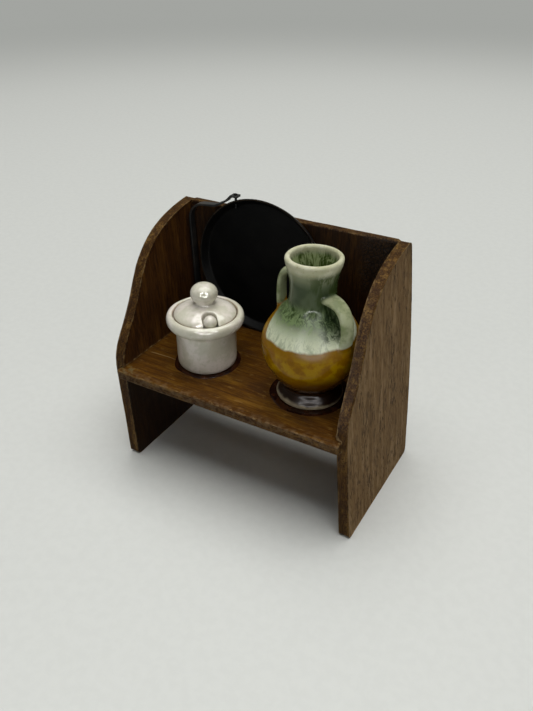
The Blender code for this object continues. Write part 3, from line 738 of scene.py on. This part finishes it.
def make_spoon(glaze):
    bowl_at = NOTCH_WAY * 1.3 * MM + UP * 2.15 * MM
    ball_at = NOTCH_WAY * 5.86 * MM + UP * 13.28 * MM
    forms = []
    for centre, sizes in ((ball_at, (1.56, 1.52, 1.56)), (bowl_at, (1.9, 1.9, 0.75))):
        ball = bmesh.new()
        bmesh.ops.create_uvsphere(ball, u_segments=40, v_segments=24, radius=1.0)
        turn = Matrix.Rotation(NOTCH_BEARING, 4, "Z")
        bmesh.ops.transform(ball, verts=ball.verts, matrix=Matrix.Translation(centre) @ turn
                            @ Matrix.Diagonal((*[s * MM for s in sizes], 1)))
        forms.append(ball)
    forms.append(spoon_stem(bowl_at, ball_at))
    bm = fused(forms, 0.085 * MM, smoothing=3)
    mark(bm, "seam", lambda v: unit((12.0 * MM - v.co.z) / (0.8 * MM)) * 0.8)
    roughen(bm, 0.04 * MM, 1.6 * MM, 41)
    bmesh.ops.translate(bm, verts=bm.verts, vec=POT_FOOT)
    return piece("honey_spoon_piece", bm, glaze, "honey_spoon", "spoon")


# ---- jug: millimetres above its foot ----

JUG_WALL_LINE = [(5.75, 3.2), (7.6, 5.0), (9.1, 7.5), (10.2, 10.0), (10.6, 12.8), (10.31, 15.04),
                 (9.11, 17.5), (7.22, 19.97), (5.39, 21.98), (4.87, 24.0), (4.89, 27.0),
                 (5.36, 29.5), (5.85, 31.3)]


def jug_radius(height):
    for (near, low), (far, high) in zip(JUG_WALL_LINE, JUG_WALL_LINE[1:]):
        if low <= height <= high:
            return near + (far - near) * (height - low) / (high - low)
    return JUG_WALL_LINE[-1][0]


def jug_handle(bearing, top, bottom, reach, width):
    """A strap from the neck or shoulder, out to reach, and back to the belly."""
    way = Vector((math.cos(bearing), math.sin(bearing), 0))
    thick = 1.45
    sunk = 0.75       # how far the strap's roots go into the wall
    count = 26
    line = []
    for i in range(count + 1):
        share = i / count
        turn = math.radians(90 - 180 * share)
        root = jug_radius(top) * (1 - share) + jug_radius(bottom) * share - sunk
        bulge = reach - thick / 2 - root
        out = root + bulge * max(0.0, math.cos(turn)) ** 0.7
        lift = (top + bottom) / 2 + (top - bottom) / 2 * math.sin(turn)
        line.append((way * out + UP * lift) * MM)
    across = Vector((-way.y, way.x, 0))
    bm = bmesh.new()
    rings = []
    for i, point in enumerate(line):
        rise = direction_at(line, i).cross(across).normalized()
        flare = 1 + 0.28 * abs(2 * i / count - 1) ** 5
        rings.append(ellipse(bm, point, across, rise, width / 2 * flare * MM,
                             thick / 2 * flare * MM, 20))
    return skinned(bm, rings)


def make_jug(glaze):
    foot = smooth_curve([(6.7, 0.03), (7.1, 0.12), (7.32, 0.45), (7.28, 0.95), (6.9, 1.55),
                         (6.2, 2.15), (5.85, 2.6)], 4)
    wall = smooth_curve(JUG_WALL_LINE, 5)
    lip = smooth_curve([(5.93, 31.75), (5.94, 32.2), (5.66, 32.52), (5.2, 32.6), (4.82, 32.3)], 4)
    inside = [(p.x - 1.2, p.y) for p in reversed(wall) if p.y > 5.2]
    profile = [(0.0, 0.03)] + [tuple(p) for p in foot + wall + lip] + inside \
        + [(3.9, 4.4), (0.0, 4.2)]
    body = turned(in_metres(profile), 96)
    left = jug_handle(math.radians(172), 28.2, 17.4, 8.7, 3.0)
    right = jug_handle(math.radians(-21), 24.8, 13.0, 10.8, 3.5)
    bm = fused([body, left, right], 0.21 * MM, smoothing=4)

    def inside_share(vert):
        level = vert.co.z / MM
        wall_there = jug_radius(min(31.3, level)) - 0.75
        return unit((wall_there - vert.co.xy.length / MM) / 0.3) if level > 4 else 0.0

    def handle_share(vert):
        level = vert.co.z / MM
        wall_there = jug_radius(max(3.2, min(31.3, level)))
        return unit((vert.co.xy.length / MM - wall_there - 0.15) / 0.7) if 9 < level < 30.5 else 0.0

    mark(bm, "inside", inside_share)
    mark(bm, "handle", handle_share)
    roughen(bm, 0.07 * MM, 5.0 * MM, 43)
    bmesh.ops.translate(bm, verts=bm.verts, vec=JUG_FOOT)
    return piece("two_handled_jug", bm, glaze, "jug", "jug")


# ---- pan: millimetres, mouth towards +Z before it is stood up ----

def make_pan(iron):
    outside = smooth_curve([(15.4, -2.2), (15.95, -2.12), (16.2, -1.8), (16.6, -1.15), (17.0, -0.42),
                            (17.15, -0.16), (17.12, -0.03), (16.95, 0.0)], 4)
    inside = smooth_curve([(16.72, -0.06), (16.55, -0.3), (16.1, -0.95), (15.75, -1.45),
                           (15.5, -1.65), (15.0, -1.7), (13.5, -1.7)], 4)
    profile = [(0.0, -2.2), (8.0, -2.2)] + [tuple(p) for p in outside + inside] \
        + [(9.0, -1.72), (4.5, -1.71), (0.0, -1.7)]
    bm = turned(in_metres(profile), 128)
    mark(bm, "corner", lambda v: near_ring(v, 16.95, 0.35)
         * unit(1 + v.co.z / (0.5 * MM)))
    roughen(bm, 0.03 * MM, 6.0 * MM, 47)
    stand = Matrix.Translation(PAN_MOUTH) @ Matrix.Rotation(math.radians(90), 4, "X")
    bmesh.ops.transform(bm, verts=bm.verts, matrix=stand)
    return piece("pan", bm, iron, "pan", "pan_dish", 50)


def make_bail(iron):
    bm = merged_copy("pan_bail")
    corners = [(e.verts[0].co.copy(), e.verts[1].co.copy()) for e in sharp_edges(bm)]
    rounded_edges(bm, 0.13 * MM)
    mark(bm, "corner", lambda v: max(
        0.0, 1 - min(distance_to(v.co, ends) for ends in corners) / (0.25 * MM)) * 0.7)
    roughen(bm, 0.015 * MM, 3.0 * MM, 53, inward=True)
    return piece("bail_handle", bm, iron, "bail", "pan_bail", 40)


def make_rivets(iron):
    for name, node in (("upper_rivet", "pan_rivet_upper"), ("lower_rivet", "pan_rivet_lower")):
        bm = merged_copy(node)
        middle_point = middle(node)
        for vert in bm.verts:
            vert.co.xy = middle_point.xy.lerp(vert.co.xy, 0.85)
        rounded_edges(bm, 0.06 * MM)
        mark(bm, "corner", lambda v: 0.5)
        piece(name, bm, iron, "pan", node, 40)


def make_glue_shade_rings(glue_shade):
    """Low glue beads on the shelf round the feet of the pot and the jug, dark with painted contact
    shadow.
    """
    for name, foot, near, far in (("pot_glue_shade_ring", POT_FOOT, 6.35, 7.75),
                                  ("jug_glue_shade_ring", JUG_FOOT, 7.0, 8.8)):
        bm = bmesh.new()
        section = [(near, -0.04), (near, 0.05), (near + 0.25, 0.075), (far - 0.45, 0.085),
                   (far - 0.15, 0.06), (far, 0.0), (far, -0.04)]
        verts = [bm.verts.new((a * MM, 0, b * MM)) for a, b in section]
        edges = [bm.edges.new((verts[i], verts[(i + 1) % len(verts)])) for i in range(len(verts))]
        bmesh.ops.spin(bm, geom=verts + edges, cent=(0, 0, 0), axis=UP, angle=math.tau, steps=90,
                       use_merge=True)
        bmesh.ops.remove_doubles(bm, verts=bm.verts, dist=0.0005 * MM)
        bmesh.ops.recalc_face_normals(bm, faces=bm.faces)
        for vert in bm.verts:
            out = vert.co.xy.length / MM
            share = (out - near) / (far - near)
            way = vert.co.xy.normalized()
            stray = noise.noise(Vector((way.x * 1.6, way.y * 1.6, foot.x * 900))) * 0.45 * share
            vert.co.x += way.x * stray * MM
            vert.co.y += way.y * stray * MM
        bmesh.ops.translate(bm, verts=bm.verts, vec=Vector((foot.x, foot.y, SHELF_HIGH.z)))
        piece(name, bm, glue_shade, "shelf_unit", None, 60)


# ---- floor, lights and camera ----

FLOOR_SHADE = (0.640, 0.655, 0.635)
FAR_SHADE = (0.365, 0.375, 0.355)
WORLD_LIGHT = 0.012


def seen_directly(f):
    """1 for what the camera sees, also by reflection or through glass, and 0 for soft light."""
    camera, glossy, through = (f.node("LightPath", output=f"Is {kind} Ray")
                               for kind in ("Camera", "Glossy", "Transmission"))
    return (camera + glossy + through).clamped()


def make_floor():
    f = new_material("pale_paper")
    where = f.places(scale=(1, 1, 1))
    away = f.node("VectorMath", {"operation": "LENGTH"}, {0: where}, output="Value")
    paper = f.noise(f.places(), 2.2, detail=3.0)
    colour = f.mix(paper.between(0.35, 0.65), FLOOR_SHADE, [c * 0.975 for c in FLOOR_SHADE])
    near = f.node("BsdfPrincipled", {}, {"Base Color": colour, "Roughness": 0.9,
                                         "Specular IOR Level": 0.1})
    far = f.node("Emission", {}, {"Color": (*FAR_SHADE, 1), "Strength": 1.0})
    factor = away.between(0.40, 0.85) * seen_directly(f)
    shader = f.node("MixShader", {}, {0: factor, 1: near, 2: far})
    f.node("OutputMaterial", {}, {"Surface": shader})
    bm = bmesh.new()
    bmesh.ops.create_grid(bm, x_segments=12, y_segments=12, size=3.0)
    floor = bpy.data.objects.new("floor", mesh_of("floor", bm))
    floor.data.materials.append(f.owner)
    bpy.context.scene.collection.objects.link(floor)


def make_world():
    world = bpy.data.worlds.new("room")
    bpy.context.scene.world = world
    f = Finish(world)
    low = f.node("Background", {}, {"Color": (0.95, 1.0, 1.0, 1), "Strength": WORLD_LIGHT})
    backdrop = f.node("Background", {}, {"Color": (*FAR_SHADE, 1)})
    shader = f.node("MixShader", {}, {0: seen_directly(f), 1: low, 2: backdrop})
    f.node("OutputWorld", {}, {"Surface": shader})


def add_lamp(name, place, aim, size, power, colour, shape="SQUARE"):
    data = bpy.data.lights.new(name, "AREA")
    data.shape = shape
    data.size = size
    data.energy = power
    data.color = colour
    lamp = bpy.data.objects.new(name, data)
    lamp.location = place
    lamp.rotation_euler = (place - aim).to_track_quat("Z", "Y").to_euler()
    lamp.visible_camera = False
    bpy.context.scene.collection.objects.link(lamp)
    return lamp


CAMERA_PLACE = Vector((69.752, -119.197, 116.267)) * MM
CAMERA_YAW = math.radians(30.008)
CAMERA_PITCH = math.radians(32.519)
CAMERA_ROLL = math.radians(-0.304)
CAMERA_LENS = 35.843
SENSOR_WIDTH = 36.0
RING_RADIUS = 78 * MM
FILL_LAMPS = 8
GLINT_LAMPS = 44


def make_camera():
    data = bpy.data.cameras.new("camera")
    data.lens = CAMERA_LENS
    data.sensor_width = SENSOR_WIDTH
    data.clip_start = 1 * MM
    data.clip_end = 20.0
    turn = Matrix.Rotation(CAMERA_YAW, 3, "Z")
    forward = turn @ Vector((0, math.cos(CAMERA_PITCH), -math.sin(CAMERA_PITCH)))
    level = turn @ Vector((1, 0, 0))
    upright = level.cross(forward)
    right = math.cos(CAMERA_ROLL) * level + math.sin(CAMERA_ROLL) * upright
    up = math.cos(CAMERA_ROLL) * upright - math.sin(CAMERA_ROLL) * level
    placed = Matrix((right, up, -forward)).transposed().to_4x4()
    placed.translation = CAMERA_PLACE
    camera = bpy.data.objects.new("camera", data)
    camera.matrix_world = placed
    bpy.context.scene.collection.objects.link(camera)
    bpy.context.scene.camera = camera
    return right, up, forward


def make_lights(right, up, forward):
    """A wide soft lamp overhead, and a thin ring of small lamps round the camera."""
    centre = Vector((0, 0, 0.03))
    add_lamp("overhead", Vector((0.0, 0.09, 1.0)), centre, 1.0, 12.7, (1.0, 0.995, 0.97))
    aim = CAMERA_PLACE + forward * 0.17
    for count, kind, size, power in ((FILL_LAMPS, "fill", 20 * MM, 0.0052),
                                     (GLINT_LAMPS, "glint", 11 * MM, 0.022)):
        for i in range(count):
            turn = math.tau * i / count
            place = CAMERA_PLACE + (right * math.cos(turn) + up * math.sin(turn)) * RING_RADIUS
            lamp = add_lamp(f"{kind}_{i:02d}", place, aim, size, power, (1.0, 1.0, 1.0), "DISK")
            lamp.visible_glossy = kind == "glint"
            lamp.visible_diffuse = kind == "fill"


def main():
    scene = bpy.context.scene
    scene.view_settings.view_transform = "Standard"
    glaze = ivory_glaze()
    pan_iron = black_iron("pan_iron", 0.05)
    bail_iron = black_iron("bail_iron", 0.30)
    make_shelf_unit()
    make_pot(glaze)
    make_lid(glaze)
    make_spoon(glaze)
    make_jug(jug_glaze())
    make_pan(pan_iron)
    make_bail(bail_iron)
    make_rivets(pan_iron)
    make_glue_shade_rings(glue_with_painted_shade())
    make_floor()
    make_world()
    make_lights(*make_camera())


main()
